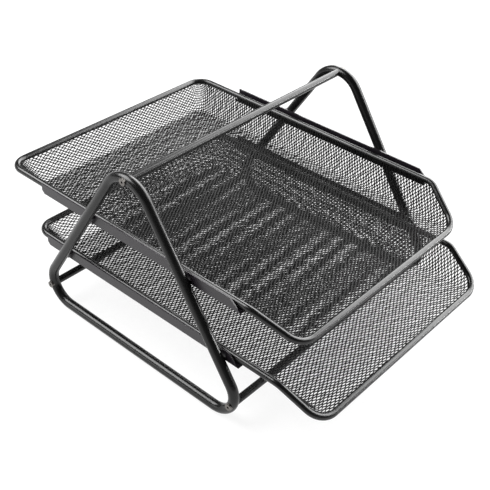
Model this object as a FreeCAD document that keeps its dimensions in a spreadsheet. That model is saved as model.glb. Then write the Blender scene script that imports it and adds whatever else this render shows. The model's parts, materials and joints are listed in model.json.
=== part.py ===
"""Two-tier mesh letter tray: two bent-tube side frames tied by three cross rods, four angle rails
and two mesh trays that slide on the rails.

Origin: on the table, at the middle of the stand. +Z is up, -Y is the front and +X the right side.
"""
import FreeCAD, Part
import Sketcher

import math
import operator
import os

from FreeCAD import Placement, Rotation, Vector

SIZES = {
    # side frames: one tube each, bent round three corners
    "tube_diameter": 9.5,
    "tube_wall": 1.2,
    "frame_offset": 140.0,  # middle of the stand to the middle of a side frame
    "base_bend_offset": 95.0,  # middle of the stand to the centre of a bottom bend
    "base_bend_radius": 22.5,
    "apex_bend_radius": 27.1,
    "apex_bend_rise": 156.5,  # tube line of the base to the centre of the top bend
    "apex_setback": 3.2,  # the top bend sits a little behind the middle
    "seam_gap": 0.3,  # butt joint in the middle of the base tube
    # cross rods and their screws
    "rod_diameter": 7.0,
    "base_rod_angle": 18.0,  # how far round the bottom bend a rod sits, below its centre
    "screw_diameter": 4.0,
    "screw_clearance": 0.2,
    "screw_reach": 14.0,  # thread inside a rod
    "head_diameter": 6.6,
    "head_height": 1.2,  # above the crown of the tube
    "socket_width": 2.5,
    "socket_depth": 1.4,
    # rails
    "rail_sheet": 1.2,
    "rail_height": 10.0,
    "rail_width": 10.05,
    "rail_back": 127.5,
    "rail_front": 105.0,
    "rail_nose": 12.0,  # the lower edge reaches this much further forward
    "rail_corner": 3.0,
    "upper_rail_top": 121.6,  # above the tube line of the base
    "lower_rail_top": 63.4,
    "weld_length": 8.4,
    "weld_width": 3.4,
    "weld_height": 2.2,
    "weld_offset": 3.4,  # middle of a leg to the middle of a bead
    # trays
    "rim_diameter": 6.0,
    "rim_clearance": 0.3,  # rim to rail shelf
    "tray_half_width": 129.5,  # to the middle of the rim
    "tray_back": 182.0,  # upper tray, to the middle of the rim
    "tray_shoulder": 123.0,  # upper tray, where the side rims turn down
    "tray_front": 162.0,
    "tray_depth": 24.0,
    "lower_tray_pull": 31.5,  # the lower tray stands this much further forward
    "back_corner_radius": 16.0,
    "shoulder_radius": 15.0,
    "front_corner_radius": 20.0,
    "upper_front_half_width": 112.6,
    "lower_front_half_width": 120.0,
    "wall_lean": 16.2,  # the floor is this much narrower than the rim on each side
    "back_lean": 14.0,
    "floor_corner_radius": 8.0,
    "mesh_thickness": 0.8,
}

SIDES = {"left": -1, "right": 1}

doc = FreeCAD.newDocument("LetterTray")
sheet = doc.addObject("Spreadsheet::Sheet", "Sizes")
for row, (alias, number) in enumerate(SIZES.items(), start=1):
    sheet.set(f"A{row}", alias)
    sheet.set(f"B{row}", str(number))
    sheet.setAlias(f"B{row}", alias)
doc.recompute()


class Size:
    """A number in millimetres or degrees with the spreadsheet expression that gives it."""

    def __init__(self, value, text):
        self.value = value
        self.text = text

    def joined(self, sign, act, other):
        other = other if isinstance(other, Size) else Size(other, str(other))
        return Size(act(self.value, other.value), f"({self.text} {sign} {other.text})")

    def __add__(self, other):
        return self.joined("+", operator.add, other)

    def __sub__(self, other):
        return self.joined("-", operator.sub, other)

    def __mul__(self, other):
        return self.joined("*", operator.mul, other)

    def __truediv__(self, other):
        return self.joined("/", operator.truediv, other)


def size(alias):
    return Size(float(getattr(sheet, alias)), f"Sizes.{alias}")


def cosine(angle):
    return Size(math.cos(math.radians(angle.value)), f"cos({angle.text})")


def sine(angle):
    return Size(math.sin(math.radians(angle.value)), f"sin({angle.text})")


def bind(obj, **sizes):
    """Drives properties of obj by the spreadsheet; x, y and z are its position."""
    for name, amount in sizes.items():
        name = f"Placement.Base.{name}" if name in ("x", "y", "z") else name
        obj.setExpression(name, amount.text)


# ---------------------------------------------------------------- places that several pieces share
tube_radius = size("tube_diameter") / 2
base_line = tube_radius
apex_centre = (size("apex_setback"), base_line + size("apex_bend_rise"))
base_centres = {
    "rear": (size("base_bend_offset"), base_line + size("base_bend_radius")),
    "front": (size("base_bend_offset") * -1, base_line + size("base_bend_radius")),
}
rod_drop = size("base_bend_radius") * sine(size("base_rod_angle"))
rod_throw = size("base_bend_radius") * cosine(size("base_rod_angle"))
RODS = {
    "top": (apex_centre[0], apex_centre[1] + size("apex_bend_radius")),
    "rear": (base_centres["rear"][0] + rod_throw, base_centres["rear"][1] - rod_drop),
    "front": (base_centres["front"][0] - rod_throw, base_centres["front"][1] - rod_drop),
}
BENDS = {
    "top": (apex_centre, size("apex_bend_radius")),
    "rear": (base_centres["rear"], size("base_bend_radius")),
    "front": (base_centres["front"], size("base_bend_radius")),
}
rail_face = size("frame_offset") - tube_radius
RAIL_TOPS = {"upper": base_line + size("upper_rail_top"), "lower": base_line + size("lower_rail_top")}


def leg_ends(leg):
    """Where a leg's straight tube line leaves the bottom bend and meets the top bend, as (y, z)."""
    (low_y, low_z), low_radius = BENDS[leg]
    (top_y, top_z), top_radius = BENDS["top"]
    run, rise = top_y.value - low_y.value, top_z.value - low_z.value
    length = math.hypot(run, rise)
    outward = 1 if leg == "rear" else -1
    along = (run / length, rise / length)
    across = (outward * along[1], -outward * along[0])
    lean = (low_radius.value - top_radius.value) / length
    steady = math.sqrt(1 - lean * lean)
    normal = (across[0] * steady + along[0] * lean, across[1] * steady + along[1] * lean)
    low = (low_y.value + low_radius.value * normal[0], low_z.value + low_radius.value * normal[1])
    top = (top_y.value + top_radius.value * normal[0], top_z.value + top_radius.value * normal[1])
    return low, top


# ---------------------------------------------------------------- sketches
def new_body(label):
    body = doc.addObject("PartDesign::Body", label)
    body.Label = label
    return body


def new_sketch(body, plane, name):
    sketch = body.newObject("Sketcher::SketchObject", name)
    support = next(item for item in body.Origin.OriginFeatures if item.Role == plane)
    sketch.AttachmentSupport = (support, [""])
    sketch.MapMode = "FlatFace"
    return sketch


def fix(sketch, kind, where, amount):
    """Adds a dimension to a sketch and drives it by the spreadsheet."""
    index = sketch.addConstraint(Sketcher.Constraint(kind, *where, amount.value))
    sketch.setExpression(f"Constraints[{index}]", amount.text)


def place_point(sketch, geometry, point, across, up):
    fix(sketch, "DistanceX", (-1, 1, geometry, point), across)
    fix(sketch, "DistanceY", (-1, 1, geometry, point), up)


def add_circle(sketch, across, up, diameter):
    middle = Vector(across.value, up.value, 0)
    circle = sketch.addGeometry(Part.Circle(middle, Vector(0, 0, 1), diameter.value / 2), False)
    place_point(sketch, circle, 3, across, up)
    fix(sketch, "Diameter", (circle,), diameter)


def add_outline(sketch, corners):
    """Draws a closed outline of straight edges through corners given as (across, up) sizes."""
    points = [Vector(across.value, up.value, 0) for across, up in corners]
    edges = [
        sketch.addGeometry(Part.LineSegment(start, end), False)
        for start, end in zip(points, points[1:] + points[:1])
    ]
    for here, there in zip(edges, edges[1:] + edges[:1]):
        sketch.addConstraint(Sketcher.Constraint("Coincident", here, 2, there, 1))
    for edge, (across, up) in zip(edges, corners):
        place_point(sketch, edge, 1, across, up)


# ---------------------------------------------------------------- side frames
def draw_tube_line(sketch):
    """The bent tube's line: base, rear bend, rear leg, top bend, front leg, front bend, base."""
    half_gap = size("seam_gap") / 2
    rear_low, rear_top = leg_ends("rear")
    front_low, front_top = leg_ends("front")
    rear_y, front_y = base_centres["rear"][0].value, base_centres["front"][0].value

    def at(point):
        return Vector(point[0], point[1], 0)

    def line(start, end):
        return sketch.addGeometry(Part.LineSegment(at(start), at(end)), False)

    def arc(bend, start, end):
        (across, up), radius = BENDS[bend]
        centre = Vector(across.value, up.value, 0)
        angles = [math.atan2(p[1] - centre.y, p[0] - centre.x) for p in (start, end)]
        circle = Part.Circle(centre, Vector(0, 0, 1), radius.value)
        index = sketch.addGeometry(Part.ArcOfCircle(circle, *angles), False)
        place_point(sketch, index, 3, across, up)
        fix(sketch, "Radius", (index,), radius)
        return index

    low = base_line.value
    rear_base = line((half_gap.value, low), (rear_y, low))
    rear_bend = arc("rear", (rear_y, low), rear_low)
    rear_leg = line(rear_low, rear_top)
    top_bend = arc("top", rear_top, front_top)
    front_leg = line(front_top, front_low)
    front_bend = arc("front", front_low, (front_y, low))
    front_base = line((front_y, low), (-half_gap.value, low))
    run = [rear_base, rear_bend, rear_leg, top_bend, front_leg, front_bend, front_base]
    for here, there in zip(run, run[1:]):
        sketch.addConstraint(Sketcher.Constraint("Tangent", here, 2, there, 1))
    for base, point, gap in ((rear_base, 1, half_gap), (front_base, 2, half_gap * -1)):
        sketch.addConstraint(Sketcher.Constraint("Horizontal", base))
        fix(sketch, "DistanceX", (-1, 1, base, point), gap)


def make_side_frame(side, sign):
    body = new_body(f"side_frame_{side}")
    line = new_sketch(body, "YZ_Plane", "TubeLine")
    draw_tube_line(line)
    section = new_sketch(body, "XZ_Plane", "TubeSection")
    centre = (Size(0.0, "0"), base_line)
    add_circle(section, *centre, size("tube_diameter"))
    add_circle(section, *centre, size("tube_diameter") - size("tube_wall") * 2)
    section.setExpression("AttachmentOffset.Base.z", (size("seam_gap") / -2).text)
    doc.recompute()
    tube = body.newObject("PartDesign::AdditivePipe", "Tube")
    tube.Profile = (section, [""])
    tube.Spine = (line, [""])
    holes = new_sketch(body, "YZ_Plane", "ScrewHoles")
    for across, up in RODS.values():
        add_circle(holes, across, up, size("screw_diameter") + size("screw_clearance") * 2)
    doc.recompute()
    cut = body.newObject("PartDesign::Pocket", "ScrewCut")
    cut.Profile = holes
    cut.Type = "Length"
    cut.SideType = "Symmetric"
    bind(cut, Length=size("tube_diameter") * 2)
    bind(body, x=size("frame_offset") * sign)
    return body


# ---------------------------------------------------------------- cross rods and screws
def add_primitive(kind, label, **sizes):
    item = doc.addObject(f"Part::{kind}", label)
    bind(item, **sizes)
    return item


def bend_ring(label, bend, sign):
    """The side frame's tube round one bend, carried on to a full ring, as a cutting shape."""
    (across, up), radius = BENDS[bend]
    ring = add_primitive("Torus", label, Radius1=radius, Radius2=tube_radius)
    ring.Placement = Placement(Vector(), Rotation(Vector(0, 1, 0), 90))
    bind(ring, x=size("frame_offset") * sign, y=across, z=up)
    return ring


def along_x(item, start, across, up):
    item.Placement = Placement(Vector(), Rotation(Vector(0, 1, 0), 90))
    bind(item, x=start, y=across, z=up)
    return item


def fused(label, items):
    joined = doc.addObject("Part::MultiFuse", label)
    joined.Shapes = items
    return joined


def without(label, base, tool):
    left = doc.addObject("Part::Cut", label)
    left.Base = base
    left.Tool = tool
    return left


def make_cross_rod(name):
    """A round bar whose ends are coped to the side frames and tapped for the screws."""
    label = f"{name}_cross_rod"
    across, up = RODS[name]
    half = size("frame_offset")
    bar = add_primitive("Cylinder", f"{label}_bar", Radius=size("rod_diameter") / 2, Height=half * 2)
    along_x(bar, half * -1, across, up)
    bore_radius = size("screw_diameter") / 2 + size("screw_clearance") / 2
    bore_length = tube_radius + size("screw_reach") + 1
    starts = {"left": half * -1, "right": half - bore_length}
    tools = []
    for side, sign in SIDES.items():
        tools.append(bend_ring(f"{label}_cope_{side}", name, sign))
        bore = add_primitive("Cylinder", f"{label}_bore_{side}", Radius=bore_radius, Height=bore_length)
        tools.append(along_x(bore, starts[side], across, up))
    return without(label, bar, fused(f"{label}_cuts", tools))


def make_screw(name, side, sign):
    """A socket screw through the side frame into a rod; its head is seated on the round tube."""
    label = f"{name}_screw_{side}"
    across, up = RODS[name]
    face = size("frame_offset") + tube_radius
    reach = size("tube_diameter") + size("screw_reach")
    crown = size("head_height")
    sunk = tube_radius / 2
    shank = add_primitive("Cylinder", f"{label}_shank", Radius=size("screw_diameter") / 2, Height=reach)
    head = add_primitive("Cylinder", f"{label}_head", Radius=size("head_diameter") / 2, Height=crown + sunk)
    socket = add_primitive(
        "Prism", f"{label}_socket", Circumradius=size("socket_width") / 2, Height=size("socket_depth")
    )
    socket.Polygon = 6
    if sign > 0:
        starts = (face - reach, face - sunk, face + crown - size("socket_depth"))
    else:
        starts = (face * -1, face * -1 - crown, face * -1 - crown)
    for item, start in zip((shank, head, socket), starts):
        along_x(item, start, across, up)
    seat = bend_ring(f"{label}_seat", name, sign)
    blank = fused(f"{label}_blank", [without(f"{label}_seated_head", head, seat), shank])
    return without(label, blank, socket)


# ---------------------------------------------------------------- rails and their welds
def make_rail(level, side, sign):
    """An angle rail: an upright flange against the frame and a shelf that carries the tray."""
    body = new_body(f"{level}_rail_{side}")
    top = RAIL_TOPS[level]
    foot = top - size("rail_height")
    back, front = size("rail_back"), size("rail_front") * -1
    flange = new_sketch(body, "YZ_Plane", "Flange")
    corner = size("rail_corner")
    nose = front - size("rail_nose")
    outline = [(back, top), (back, foot + corner), (back - corner, foot), (nose, foot), (front, top)]
    add_outline(flange, outline)
    doc.recompute()
    plate = body.newObject("PartDesign::Pad", "FlangePlate")
    plate.Profile = flange
    plate.Reversed = sign > 0
    bind(plate, Length=size("rail_sheet"))
    shelf = new_sketch(body, "YZ_Plane", "Shelf")
    lift = foot + size("rail_sheet")
    slope = size("rail_nose") / size("rail_height") * size("rail_sheet")
    add_outline(shelf, [(back - corner, lift), (back - corner, foot), (nose, foot), (nose + slope, lift)])
    doc.recompute()
    ledge = body.newObject("PartDesign::Pad", "ShelfPlate")
    ledge.Profile = shelf
    ledge.Reversed = sign > 0
    bind(ledge, Length=size("rail_width"))
    bind(body, x=rail_face * sign)
    return body


def make_weld(label, level, leg, sign):
    """Two beads of weld, one on each edge of a leg, where a rail's flange lies against it."""
    low, top = leg_ends(leg)
    height = RAIL_TOPS[level].value - size("rail_height").value / 2
    share = (height - low[1]) / (top[1] - low[1])
    middle = low[0] + share * (top[0] - low[0])
    lean = math.degrees(math.atan2(top[0] - low[0], top[1] - low[1]))
    turn = Rotation(Vector(1, 0, 0), -lean)
    crossing = Vector(rail_face.value * sign, middle, height)
    outside = turn * Rotation(Vector(0, 0, 1), 90 + 90 * sign)
    beads = []
    for edge, outward in (("rear", 1), ("front", -1)):
        bead = add_primitive(
            "Ellipsoid",
            f"{label}_bead_{edge}",
            Radius1=size("weld_length") / 2,
            Radius2=size("weld_height"),
            Radius3=size("weld_width") / 2,
        )
        aside = turn.multVec(Vector(0, outward * size("weld_offset").value, 0))
        bead.Placement = Placement(crossing + aside, outside)
        beads.append(bead)
    span = size("weld_length") * 3
    leg_solid = add_primitive("Cylinder", f"{label}_leg", Radius=tube_radius, Height=span)
    foot = turn.multVec(Vector(tube_radius.value * sign, 0, -span.value / 2))
    leg_solid.Placement = Placement(crossing + foot, turn)
    flange = add_primitive("Box", f"{label}_flange", Length=span, Width=span, Height=span)
    flange.Placement.Base = Vector(0, middle - span.value / 2, height - span.value / 2)
    bind(flange, x=rail_face - span if sign > 0 else rail_face * -1)
    beside_leg = without(f"{label}_beside_leg", fused(f"{label}_beads", beads), leg_solid)
    return without(label, beside_leg, flange)


def make_welds(level, side, sign):
    """The welds that hold one rail to the two legs of its side frame."""
    label = f"{level}_rail_welds_{side}"
    welds = doc.addObject("Part::Compound", label)
    welds.Links = [make_weld(f"{label}_{leg}", level, leg, sign) for leg in ("front", "rear")]
    return welds


# ---------------------------------------------------------------- trays
class Tray:
    """Rim and mesh places of one tray, read from the sheet."""

    def __init__(self, level):
        pull = size("lower_tray_pull").value if level == "lower" else 0.0
        rim_radius = size("rim_diameter").value / 2
        shelf = RAIL_TOPS[level].value - size("rail_height").value + size("rail_sheet").value
        self.level = level
        self.rim_radius = rim_radius
        self.high = shelf + size("rim_clearance").value + rim_radius
        self.low = self.high - size("tray_depth").value
        self.half = size("tray_half_width").value
        self.front_half = size(f"{level}_front_half_width").value
        self.back = size("tray_back").value - pull
        self.shoulder = -size("tray_shoulder").value - pull
        self.front = -size("tray_front").value - pull

    def rim_corners(self):
        """Corners of the rim's line with the radius each is bent to, from the back's middle."""
        back, shoulder, front = (
            size("back_corner_radius").value,
            size("shoulder_radius").value,
            size("front_corner_radius").value,
        )
        right = [
            (Vector(self.half, self.back, self.high), back),
            (Vector(self.half, self.shoulder, self.high), shoulder),
            (Vector(self.front_half, self.front, self.low), front),
        ]
        return right + [(Vector(-p.x, p.y, p.z), radius) for p, radius in reversed(right)]


def bend_points(before, corner, after, radius):
    """Start, middle and end of the arc of that radius that rounds a corner."""
    back, ahead = (before - corner).normalize(), (after - corner).normalize()
    half_angle = back.getAngle(ahead) / 2
    reach = radius / math.tan(half_angle)
    bisector = (back + ahead).normalize()
    centre = corner + bisector * (radius / math.sin(half_angle))
    return corner + back * reach, centre - bisector * radius, corner + ahead * reach


def rounded_loop(start, corners):
    """A closed wire from start round the corners and back, with each corner bent to its radius."""
    edges = []
    here = start
    stops = [start] + [point for point, _ in corners] + [start]
    for index, (corner, radius) in enumerate(corners, start=1):
        enter, middle, leave = bend_points(stops[index - 1], corner, stops[index + 1], radius)
        edges.append(Part.LineSegment(here, enter).toShape())
        edges.append(Part.Arc(enter, middle, leave).toShape())
        here = leave
    edges.append(Part.LineSegment(here, start).toShape())
    return Part.Wire(edges)


def make_rim(tray):
    start = Vector(0, tray.back, tray.high)
    line = rounded_loop(start, tray.rim_corners())
    ring = Part.Wire([Part.Circle(start, Vector(1, 0, 0), tray.rim_radius).toShape()])
    rim = doc.addObject("Part::Feature", f"{tray.level}_tray_rim")
    rim.Shape = line.makePipeShell([ring], True, False)
    return rim


def flat_face(points):
    return Part.Face(Part.makePolygon(points + points[:1]))


def ruled_face(first, second):
    return Part.makeRuledSurface(first, second)


def line_edge(start, end):
    return Part.LineSegment(start, end).toShape()


def mirrored(point):
    return Vector(-point.x, point.y, point.z)


def mesh_faces(tray):
    """The mesh's upper surface: floor, back wall, and for each side a wall and a back corner."""
    inset = tray.rim_radius
    lean, back_lean = size("wall_lean").value, size("back_lean").value
    top_radius = size("back_corner_radius").value - inset
    floor_radius = size("floor_corner_radius").value
    edge_x, edge_y = tray.half - inset, tray.back - inset
    fold_x, fold_y = edge_x - lean, edge_y - back_lean
    (back, _), (shoulder, shoulder_bend), (front, front_bend) = tray.rim_corners()[:3]
    enter, _, leave = bend_points(back, shoulder, front, shoulder_bend)
    turn_in, _, turn_out = bend_points(shoulder, front, mirrored(front), front_bend)
    slope = (front - shoulder).normalize()
    aside = Vector(slope.y, -slope.x, 0).normalize() * inset
    shoulder_start = Vector(edge_x, enter.y, tray.high)
    shoulder_end = leave + aside
    corner_start = turn_in + aside
    corner_end = Vector(turn_out.x, tray.front + inset, tray.low)
    fold_front_x = min(tray.front_half - inset, corner_start.x) - 1
    fold_back = Vector(fold_x, fold_y - floor_radius, tray.low)
    fold_corner = Vector(fold_front_x, corner_start.y + 2, tray.low)
    fold_shoulder = Vector(fold_x, shoulder_start.y, tray.low)
    wall_back = Vector(edge_x, edge_y - top_radius, tray.high)

    def quarter(x, y, z, radius):
        """Arc from the side wall round to the back wall."""
        low = radius * (1 - math.sqrt(0.5))
        return Part.Arc(
            Vector(x, y - radius, z), Vector(x - low, y - low, z), Vector(x - radius, y, z)
        ).toShape()

    top_arc = quarter(edge_x, edge_y, tray.high, top_radius)
    floor_arc = quarter(fold_x, fold_y, tray.low, floor_radius)
    side = [
        ruled_face(line_edge(wall_back, shoulder_start), line_edge(fold_back, fold_shoulder)),
        flat_face([shoulder_start, shoulder_end, fold_shoulder]),
        ruled_face(line_edge(shoulder_end, corner_start), line_edge(fold_shoulder, fold_corner)),
        flat_face([corner_start, corner_end, fold_corner]),
        ruled_face(top_arc, floor_arc),
    ]
    other_side = [face.mirror(Vector(), Vector(1, 0, 0)) for face in side]
    back_top = Vector(edge_x - top_radius, edge_y, tray.high)
    back_fold = Vector(fold_x - floor_radius, fold_y, tray.low)
    back_wall = ruled_face(
        line_edge(mirrored(back_top), back_top),
        line_edge(mirrored(back_fold), back_fold),
    )
    floor_edges = [
        line_edge(mirrored(corner_end), corner_end),
        line_edge(corner_end, fold_corner),
        line_edge(fold_corner, fold_shoulder),
        line_edge(fold_shoulder, fold_back),
        floor_arc,
        line_edge(back_fold, mirrored(back_fold)),
        floor_arc.mirror(Vector(), Vector(1, 0, 0)),
        line_edge(mirrored(fold_back), mirrored(fold_shoulder)),
        line_edge(mirrored(fold_shoulder), mirrored(fold_corner)),
        line_edge(mirrored(fold_corner), mirrored(corner_end)),
    ]
    floor = Part.Face(Part.Wire(Part.sortEdges(floor_edges)[0]))
    return [floor, back_wall] + side + other_side


def make_mesh(tray):
    """The pressed mesh sheet, as a solid of even upright thickness below its upper surface."""
    down = Vector(0, 0, -size("mesh_thickness").value)
    solids = [face.extrude(down) for face in mesh_faces(tray)]
    mesh = doc.addObject("Part::Feature", f"{tray.level}_tray_mesh")
    mesh.Shape = solids[0].multiFuse(solids[1:]).removeSplitter()
    return mesh


# ---------------------------------------------------------------- the whole stand
pieces = []
for side_name, side_sign in SIDES.items():
    pieces.append(make_side_frame(side_name, side_sign))
    for level_name in RAIL_TOPS:
        pieces.append(make_rail(level_name, side_name, side_sign))
        pieces.append(make_welds(level_name, side_name, side_sign))
    for rod_name in RODS:
        pieces.append(make_screw(rod_name, side_name, side_sign))
pieces += [make_cross_rod(rod_name) for rod_name in RODS]
for level_name in RAIL_TOPS:
    level_tray = Tray(level_name)
    pieces += [make_rim(level_tray), make_mesh(level_tray)]

doc.recompute()
for item in doc.Objects:
    if "Invalid" in item.State or "Error" in item.State:
        raise RuntimeError(f"{item.Label} did not compute: {item.State}")
for piece in pieces:
    if piece.Shape.isNull() or not piece.Shape.isValid():
        raise RuntimeError(f"{piece.Label} has no sound shape")

os.makedirs("parts", exist_ok=True)
for piece in pieces:
    piece.Shape.exportStep(f"parts/{piece.Label}.step")
    print(piece.Label, len(piece.Shape.Solids), round(piece.Shape.Volume, 1))
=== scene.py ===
"""Looks of the two-tier mesh letter tray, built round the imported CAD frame."""

import json
import math

import bpy
import numpy as np
from mathutils import Matrix, Vector


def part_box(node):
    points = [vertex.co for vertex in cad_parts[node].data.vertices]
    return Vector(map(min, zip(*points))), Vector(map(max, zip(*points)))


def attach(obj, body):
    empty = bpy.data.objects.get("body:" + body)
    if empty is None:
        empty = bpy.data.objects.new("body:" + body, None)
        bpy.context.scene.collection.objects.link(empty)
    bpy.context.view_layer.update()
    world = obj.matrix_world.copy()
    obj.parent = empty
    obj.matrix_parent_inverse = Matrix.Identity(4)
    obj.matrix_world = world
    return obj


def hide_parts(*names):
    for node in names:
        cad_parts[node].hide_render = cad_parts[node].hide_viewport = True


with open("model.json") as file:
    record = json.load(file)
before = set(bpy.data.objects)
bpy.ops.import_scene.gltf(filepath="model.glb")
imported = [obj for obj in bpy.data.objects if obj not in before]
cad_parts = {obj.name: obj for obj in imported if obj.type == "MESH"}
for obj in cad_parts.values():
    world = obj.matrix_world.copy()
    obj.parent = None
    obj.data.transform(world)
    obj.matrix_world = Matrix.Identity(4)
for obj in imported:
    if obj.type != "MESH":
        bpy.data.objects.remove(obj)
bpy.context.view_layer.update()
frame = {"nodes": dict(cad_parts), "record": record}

TRAYS = ("upper", "lower")
MESH_PARTS = ("front", "middle", "back")

# mesh sheet, in metres; each sheet is pulled open and skewed a little differently
LONG_WAY = {"upper": 0.0052, "lower": 0.0060}  # length of a diamond, across the tray
SHORT_WAY = 0.00345
SKEW = {"upper": (0.088, -0.024), "lower": (-0.030, -0.017)}
STRAND_WIDTH = {"upper": 0.00101, "lower": 0.00096}
STRAND_THICKNESS = 0.00034
BOND_LENGTH = 0.0009
STRAND_TILT = 0.00010
FOLD_SOFTNESS = 0.10
BOND_PLAY = 0.00032  # most that a bond lies off its regular place, each way
PLAY_ROWS = 400  # more than a tray has rows or columns of bonds
SHEET_HALF_WIDTH = 0.18  # flat sheet before it is trimmed to the rim
FRONT_TRIM, BACK_TRIM = 0.004, 0.018  # flat sheet past the rim before it is trimmed
TRIM_LINE = 0.0015  # strands end this far outside the rim's middle line

# shape of a tray basket, from the tray's rim
RIM_RADIUS = 0.003
TRAY_DEPTH = 0.024
WALL_LEAN = 0.0162
BACK_LEAN = 0.0140
FLOOR_CORNER = 0.008
BACK_CORNER = 0.013
FRONT_HALF = {"upper": 0.1096, "lower": 0.117}  # between the middle and the rim's inner side
SHOULDER_RUN = 0.039  # the side rims turn down this far behind the front rim
FRONT_FOLD_INSET = 0.004  # the fold lies this far inside the rim at the front
BACK_BEND, SHOULDER_BEND, FRONT_BEND = 0.016, 0.015, 0.020  # radii of the rim's bends
BEND_POINTS = 9  # on each bend of the line that the mesh is trimmed to
RISE_LIMIT = 4.0  # the search for a wall's rise starts this many wall heights either way
RISE_STEPS = 26
SLOPE_STEP = 0.0002  # the sheet's slope is taken over this distance each way

EDGE_ROUNDING = 0.00055  # on the rails and side frames

# camera
CAMERA_PLACE = (-0.5401, -0.4612, 0.5771)
CAMERA_AIM = (0.0189, 0.0122, 0.0349)
CAMERA_ROLL = 2.52  # degrees
CAMERA_LENS = 66.38  # millimetres, on a sensor 36 mm wide


# ---------------------------------------------------------------- materials
def new_material(name):
    material = bpy.data.materials.new(name)
    material.use_nodes = True
    tree = material.node_tree
    return material, tree, tree.nodes["Principled BSDF"]


def add_node(tree, kind, **inputs):
    node = tree.nodes.new(kind)
    for name, value in inputs.items():
        node.inputs[name.replace("_", " ")].default_value = value
    return node


def object_coordinates(tree):
    return tree.nodes.new("ShaderNodeTexCoord").outputs["Object"]


def grey(level):
    return (level,) * 3


def ramp(tree, source, stops):
    node = tree.nodes.new("ShaderNodeValToRGB")
    while len(node.color_ramp.elements) < len(stops):
        node.color_ramp.elements.new(0.5)
    for element, (position, colour) in zip(node.color_ramp.elements, stops):
        element.position = position
        element.color = (*colour, 1.0)
    tree.links.new(source, node.inputs["Fac"])
    return node.outputs["Color"]


def bump(tree, height, strength, distance, normal=None):
    node = add_node(tree, "ShaderNodeBump", Strength=strength, Distance=distance)
    tree.links.new(height, node.inputs["Height"])
    if normal is not None:
        tree.links.new(normal, node.inputs["Normal"])
    return node.outputs["Normal"]


def powder_coat(name, dark, light, roughness, peel, specular):
    """Black powder coat: faint cloudiness, orange peel, and fine grains that catch the light."""
    material, tree, shader = new_material(name)
    where = object_coordinates(tree)
    cloud = add_node(tree, "ShaderNodeTexNoise", Scale=38.0, Detail=4.0, Roughness=0.6)
    peel_noise = add_node(tree, "ShaderNodeTexNoise", Scale=900.0, Detail=2.0, Roughness=0.5)
    grain = add_node(tree, "ShaderNodeTexVoronoi", Scale=2600.0)
    for node in (cloud, peel_noise, grain):
        tree.links.new(where, node.inputs["Vector"])
    colour = ramp(tree, cloud.outputs["Fac"], [(0.3, dark), (0.7, light)])
    tree.links.new(colour, shader.inputs["Base Color"])
    glossy, dull = grey(roughness - 0.04), grey(roughness + 0.05)
    rough = ramp(tree, cloud.outputs["Fac"], [(0.3, glossy), (0.7, dull)])
    tree.links.new(rough, shader.inputs["Roughness"])
    normal = bump(tree, peel_noise.outputs["Fac"], peel, 0.0002)
    normal = bump(tree, grain.outputs["Distance"], peel * 0.4, 0.0001, normal)
    tree.links.new(normal, shader.inputs["Normal"])
    shader.inputs["Specular IOR Level"].default_value = specular
    return material


def blackened_steel(name):
    material, tree, shader = new_material(name)
    where = object_coordinates(tree)
    mottle = add_node(tree, "ShaderNodeTexNoise", Scale=420.0, Detail=5.0, Roughness=0.65)
    tree.links.new(where, mottle.inputs["Vector"])
    colour = ramp(tree, mottle.outputs["Fac"], [(0.3, (0.10, 0.095, 0.09)), (0.75, (0.24, 0.225, 0.21))])
    tree.links.new(colour, shader.inputs["Base Color"])
    tree.links.new(bump(tree, mottle.outputs["Fac"], 0.15, 0.0001), shader.inputs["Normal"])
    shader.inputs["Metallic"].default_value = 0.85
    shader.inputs["Roughness"].default_value = 0.34
    return material


def floor_paint(name):
    material, tree, shader = new_material(name)
    where = object_coordinates(tree)
    cloud = add_node(tree, "ShaderNodeTexNoise", Scale=3.0, Detail=2.0, Roughness=0.5)
    tree.links.new(where, cloud.inputs["Vector"])
    colour = ramp(tree, cloud.outputs["Fac"], [(0.3, grey(0.13)), (0.7, grey(0.14))])
    tree.links.new(colour, shader.inputs["Base Color"])
    shader.inputs["Roughness"].default_value = 0.9
    shader.inputs["Specular IOR Level"].default_value = 0.1
    shader.inputs["Emission Color"].default_value = (1.0, 1.0, 1.0, 1.0)
    shader.inputs["Emission Strength"].default_value = 0.88
    return material


RAIL_DARK, RAIL_LIGHT = (0.010, 0.008, 0.011), (0.014, 0.011, 0.015)
MATERIALS = {
    "tubes": powder_coat(
        "tube_coat", dark=grey(0.004), light=grey(0.006), roughness=0.25, peel=0.12, specular=0.36
    ),
    "rails": powder_coat(
        "rail_coat", dark=RAIL_DARK, light=RAIL_LIGHT, roughness=0.30, peel=0.15, specular=0.55
    ),
    "tray_rims": powder_coat(
        "rim_coat", dark=grey(0.004), light=grey(0.007), roughness=0.26, peel=0.12, specular=0.45
    ),
    "mesh": powder_coat(
        "mesh_coat", dark=grey(0.002), light=grey(0.004), roughness=0.45, peel=0.15, specular=0.07
    ),
    "screws": blackened_steel("screw_steel"),
}


def wear(obj, material):
    obj.data.materials.clear()
    obj.data.materials.append(material)


def soften_edges(obj, width):
    """Rounds the sharp edges of a rail's sheet, or of a tube's ends and screw holes."""
    edges = obj.modifiers.new("soft_edges", "BEVEL")
    edges.width = width
    edges.segments = 3
    edges.limit_method = "ANGLE"
    edges.angle_limit = math.radians(50)


slot_of = {row["node"]: row["material_slot"] for row in frame["record"]["subparts"]}
for node_name, node_object in frame["nodes"].items():
    wear(node_object, MATERIALS[slot_of[node_name]])
    if node_name.endswith(("_rail_left", "_rail_right", "frame_left", "frame_right")):
        soften_edges(node_object, EDGE_ROUNDING)


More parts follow.
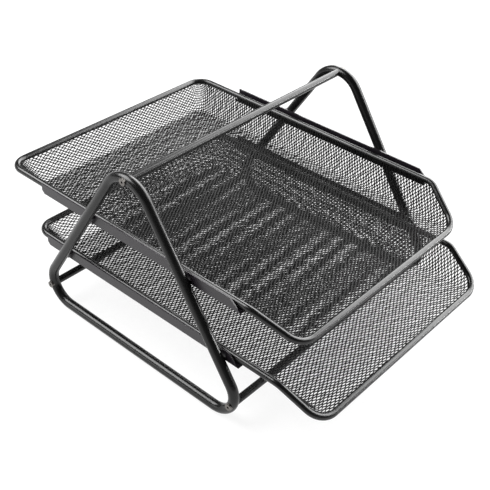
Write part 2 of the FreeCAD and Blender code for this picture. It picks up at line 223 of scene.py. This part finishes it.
# ---------------------------------------------------------------- tray baskets
class Basket:
    """The pressed mesh sheet of one tray: where a point of the flat sheet comes to lie."""

    def __init__(self, tray):
        low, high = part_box(f"{tray}_tray_rim")
        self.name = f"{tray}_tray"
        self.floor_z = low.z + RIM_RADIUS
        self.half = high.x - 2 * RIM_RADIUS
        self.back = high.y - 2 * RIM_RADIUS
        self.front = low.y + RIM_RADIUS
        self.shoulder = self.front + SHOULDER_RUN
        self.fold_x = self.half - WALL_LEAN
        self.fold_y = self.back - BACK_LEAN
        self.front_half = FRONT_HALF[tray]

    def outline(self, y):
        """Half width at the wall's top edge, at the fold, and the wall's height, for each y."""
        share = np.clip((self.shoulder - y) / SHOULDER_RUN, 0, 1)
        top = self.half + (self.front_half - self.half) * share
        front_fold = min(self.fold_x, self.front_half - FRONT_FOLD_INSET)
        fold = self.fold_x + (front_fold - self.fold_x) * share
        return top, fold, TRAY_DEPTH * (1 - share)

    def sheet_to_plan(self, u, v):
        """Plan position of points of the flat sheet: the walls are foreshortened by their slope."""
        y_run = BACK_LEAN / math.hypot(BACK_LEAN, TRAY_DEPTH)
        wall_end = self.fold_y + BACK_LEAN / y_run
        y = np.where(v > self.fold_y, self.fold_y + (v - self.fold_y) * y_run, v)
        y = np.where(v > wall_end, self.back + v - wall_end, y)
        top, fold, height = self.outline(y)
        wall = np.hypot(top - fold, height)
        out = np.abs(u) - fold
        x = np.where(out > 0, fold + out * (top - fold) / wall, np.abs(u))
        x = np.where(out > wall, top + out - wall, x)
        return x * np.sign(u), y

    def rise(self, x, y):
        """How far up the wall a plan position lies: 0 at the fold and 1 at the wall's top edge."""
        top, fold, _ = self.outline(y)
        side = (np.abs(x) - fold) / (top - fold)
        low = np.full(x.shape, -RISE_LIMIT)
        high = np.full(x.shape, RISE_LIMIT)
        for _ in range(RISE_STEPS):
            t = (low + high) / 2
            radius = np.maximum(FLOOR_CORNER + (BACK_CORNER - FLOOR_CORNER) * t, 0)
            dx = np.maximum(np.abs(x) - (self.fold_x + WALL_LEAN * t - radius), 0)
            dy = np.maximum(y - (self.fold_y + BACK_LEAN * t - radius), 0)
            outside = np.hypot(dx, dy) > radius
            low = np.where(outside, t, low)
            high = np.where(outside, high, t)
        return np.where(y < self.shoulder, side, high)

    def height(self, x, y):
        """Height of the sheet over a plan position; the fold from floor to wall is a soft bend."""
        t = np.minimum(self.rise(x, y), 1)
        soft = (t + np.sqrt(t * t + FOLD_SOFTNESS**2)) / (1 + math.hypot(1, FOLD_SOFTNESS))
        return self.floor_z + self.outline(y)[2] * soft

    def place(self, u, v, lift):
        """Points of the sheet, lifted off its middle surface along the surface's normal."""
        x, y = self.sheet_to_plan(u, v)
        z = self.height(x, y)
        slope_x = (self.height(x + SLOPE_STEP, y) - self.height(x - SLOPE_STEP, y)) / (2 * SLOPE_STEP)
        slope_y = (self.height(x, y + SLOPE_STEP) - self.height(x, y - SLOPE_STEP)) / (2 * SLOPE_STEP)
        normal = np.stack([-slope_x, -slope_y, np.ones_like(z)], axis=-1)
        normal /= np.linalg.norm(normal, axis=-1, keepdims=True)
        return np.stack([x, y, z], axis=-1) + normal * lift[..., None]

    def rim_line(self, grow):
        """Plan outline of the rim's middle line, grown outwards, as a closed polygon."""
        half, back, front = self.half + RIM_RADIUS, self.back + RIM_RADIUS, self.front
        front_half = self.front_half + RIM_RADIUS
        right = [
            (half, back, BACK_BEND),
            (half, self.shoulder, SHOULDER_BEND),
            (front_half, front, FRONT_BEND),
        ]
        corners = right + [(-x, y, radius) for x, y, radius in reversed(right)]
        points = []
        for index, (x, y, radius) in enumerate(corners):
            corner = Vector((x, y))
            before = (Vector(corners[index - 1][:2]) - corner).normalized()
            after = (Vector(corners[(index + 1) % len(corners)][:2]) - corner).normalized()
            half_angle = before.angle(after) / 2
            centre = corner + (before + after).normalized() * radius / math.sin(half_angle)
            reach = radius / math.tan(half_angle)
            start, end = corner + before * reach, corner + after * reach
            for share in np.linspace(0, 1, BEND_POINTS):
                aim = ((start - centre) * (1 - share) + (end - centre) * share).normalized()
                points.append(centre + aim * (radius + grow))
        return np.array([tuple(p) for p in points])


def inside(polygon, x, y):
    """Which of the points lie inside a closed polygon."""
    found = np.zeros(x.shape, bool)
    for (x0, y0), (x1, y1) in zip(polygon, np.roll(polygon, -1, axis=0)):
        if y0 == y1:
            continue
        crosses = (y0 > y) != (y1 > y)
        found ^= crosses & (x < x0 + (y - y0) * (x1 - x0) / (y1 - y0))
    return found


def mesh_piece(name, points, quads, body, slot):
    mesh = bpy.data.meshes.new(name)
    mesh.vertices.add(len(points))
    mesh.vertices.foreach_set("co", points.astype(np.float32).ravel())
    mesh.loops.add(len(quads) * 4)
    mesh.loops.foreach_set("vertex_index", quads.astype(np.int32).ravel())
    mesh.polygons.add(len(quads))
    mesh.polygons.foreach_set("loop_start", np.arange(0, len(quads) * 4, 4, dtype=np.int32))
    mesh.polygons.foreach_set("use_smooth", np.zeros(len(quads), bool))
    mesh.update(calc_edges=True)
    mesh.validate()
    piece = bpy.data.objects.new(name, mesh)
    bpy.context.scene.collection.objects.link(piece)
    wear(piece, MATERIALS[slot])
    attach(piece, body)
    return piece


def used_only(points, quads):
    """The same mesh without points that no face uses."""
    kept, index = np.unique(quads, return_inverse=True)
    return points[kept], index.reshape(quads.shape)


def expanded_mesh(basket, tray, rows, play):
    """Zigzag strands that touch at their bonds, one strand between each two rows of bonds."""
    row_step, column_step = SHORT_WAY / 2, LONG_WAY[tray] / 2
    skew_x, skew_y = SKEW[tray]
    reach = int(SHEET_HALF_WIDTH / column_step)
    columns = np.arange(-reach, reach + 1)
    u = (columns[:, None] * column_step + np.array([-0.5, 0.5]) * BOND_LENGTH).ravel()
    edge = basket.rim_line(TRIM_LINE)
    width = STRAND_WIDTH[tray]
    across = np.array([-0.5, 0.5, 0.5, -0.5]) * width
    up = np.array([-0.5, -0.5, 0.5, 0.5]) * STRAND_THICKNESS + np.array([-1, 1, 1, -1]) * STRAND_TILT
    points, quads, count = [], [], 0
    for row in rows:
        low_bond = np.repeat((columns + row) % 2 == 0, 2)
        v = np.where(low_bond, row * row_step + width / 2, (row + 1) * row_step - width / 2)
        lift = np.where(low_bond, STRAND_TILT, -STRAND_TILT)
        bond_row = np.where(low_bond, row, row + 1)
        shift = play[bond_row, np.repeat(columns, 2)]
        across_sheet, along_sheet = u + skew_x * v + shift[:, 0], v + skew_y * u + shift[:, 1]
        kept = inside(edge, *basket.sheet_to_plan(across_sheet, along_sheet))
        run = np.flatnonzero(kept[:-1] & kept[1:])
        if len(run) == 0:
            continue
        ring = basket.place(
            np.repeat(across_sheet[:, None], 4, axis=1), along_sheet[:, None] + across, lift[:, None] + up
        )
        points.append(ring.reshape(-1, 3))
        start = count + run[:, None] * 4
        for here, there in ((0, 1), (1, 2), (2, 3), (3, 0)):
            quads.append(np.hstack([start + here, start + 4 + here, start + 4 + there, start + there]))
        ends = np.concatenate([run[:1], run[-1:] + 1]) * 4 + count
        quads.append(np.array([[ends[0], ends[0] + 1, ends[0] + 2, ends[0] + 3]]))
        quads.append(np.array([[ends[1] + 3, ends[1] + 2, ends[1] + 1, ends[1]]]))
        count += len(ring) * 4
    return used_only(np.concatenate(points), np.concatenate(quads))


for seed, tray_name in enumerate(TRAYS, start=1):
    basket = Basket(tray_name)
    first = math.floor((basket.front - FRONT_TRIM) / (SHORT_WAY / 2))
    last = math.ceil((basket.back + BACK_TRIM) / (SHORT_WAY / 2))
    bounds = np.linspace(first, last, len(MESH_PARTS) + 1).astype(int)
    play_shape = (PLAY_ROWS, PLAY_ROWS, 2)
    play = np.random.default_rng(seed).uniform(-BOND_PLAY, BOND_PLAY, play_shape)
    for part, start, end in zip(MESH_PARTS, bounds, bounds[1:]):
        points, quads = expanded_mesh(basket, tray_name, range(start, end), play)
        piece = mesh_piece(f"{tray_name}_mesh_{part}", points, quads, basket.name, "mesh")
        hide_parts(f"{tray_name}_tray_mesh")


# ---------------------------------------------------------------- floor, light and camera
def add_floor():
    bpy.ops.mesh.primitive_circle_add(vertices=96, radius=9.0, fill_type="NGON")
    floor = bpy.context.object
    floor.name = "floor"
    wear(floor, floor_paint("floor_paint"))


def add_softbox(name, place, aim, width, height, watts):
    light = bpy.data.lights.new(name, "AREA")
    light.shape = "RECTANGLE"
    light.size, light.size_y = width, height
    light.energy = watts
    lamp = bpy.data.objects.new(name, light)
    lamp.location = place
    lamp.rotation_euler = (Vector(aim) - Vector(place)).to_track_quat("-Z", "Y").to_euler()
    bpy.context.scene.collection.objects.link(lamp)


def add_surroundings(low, high, strength):
    """A plain room, pale at the horizon and dark overhead."""
    world = bpy.data.worlds.new("studio")
    world.use_nodes = True
    bpy.context.scene.world = world
    tree = world.node_tree
    direction = tree.nodes.new("ShaderNodeTexCoord").outputs["Generated"]
    split = tree.nodes.new("ShaderNodeSeparateXYZ")
    tree.links.new(direction, split.inputs["Vector"])
    colour = ramp(tree, split.outputs["Z"], [(0.0, grey(low)), (0.45, grey(high))])
    background = tree.nodes["Background"]
    background.inputs["Strength"].default_value = strength
    tree.links.new(colour, background.inputs["Color"])


def add_camera(place, aim, roll_degrees, lens):
    camera = bpy.data.objects.new("camera", bpy.data.cameras.new("camera"))
    camera.data.sensor_width = 36.0
    camera.data.lens = lens
    camera.data.clip_end = 50.0
    level = (Vector(aim) - Vector(place)).to_track_quat("-Z", "Y").to_matrix()
    turn = level @ Matrix.Rotation(math.radians(roll_degrees), 3, "Z")
    camera.matrix_world = Matrix.Translation(place) @ turn.to_4x4()
    bpy.context.scene.collection.objects.link(camera)
    bpy.context.scene.camera = camera


add_floor()
add_surroundings(low=0.28, high=0.02, strength=1.0)
add_softbox(
    "key_light", place=(-0.45, 0.75, 1.05), aim=(-0.05, 0.10, 0.05), width=1.0, height=0.8, watts=28
)
add_softbox("side_light", place=(1.35, -0.10, 0.95), aim=(0, 0, 0.08), width=2.6, height=1.3, watts=95)
add_softbox("front_card", place=(1.20, -1.05, 0.22), aim=(0, 0, 0.12), width=0.9, height=0.08, watts=12)
add_softbox("rear_card", place=(-1.30, 0.85, 0.25), aim=(0, 0, 0.12), width=0.6, height=0.4, watts=2.5)
add_camera(CAMERA_PLACE, CAMERA_AIM, CAMERA_ROLL, CAMERA_LENS)
bpy.context.scene.view_settings.view_transform = "Standard"
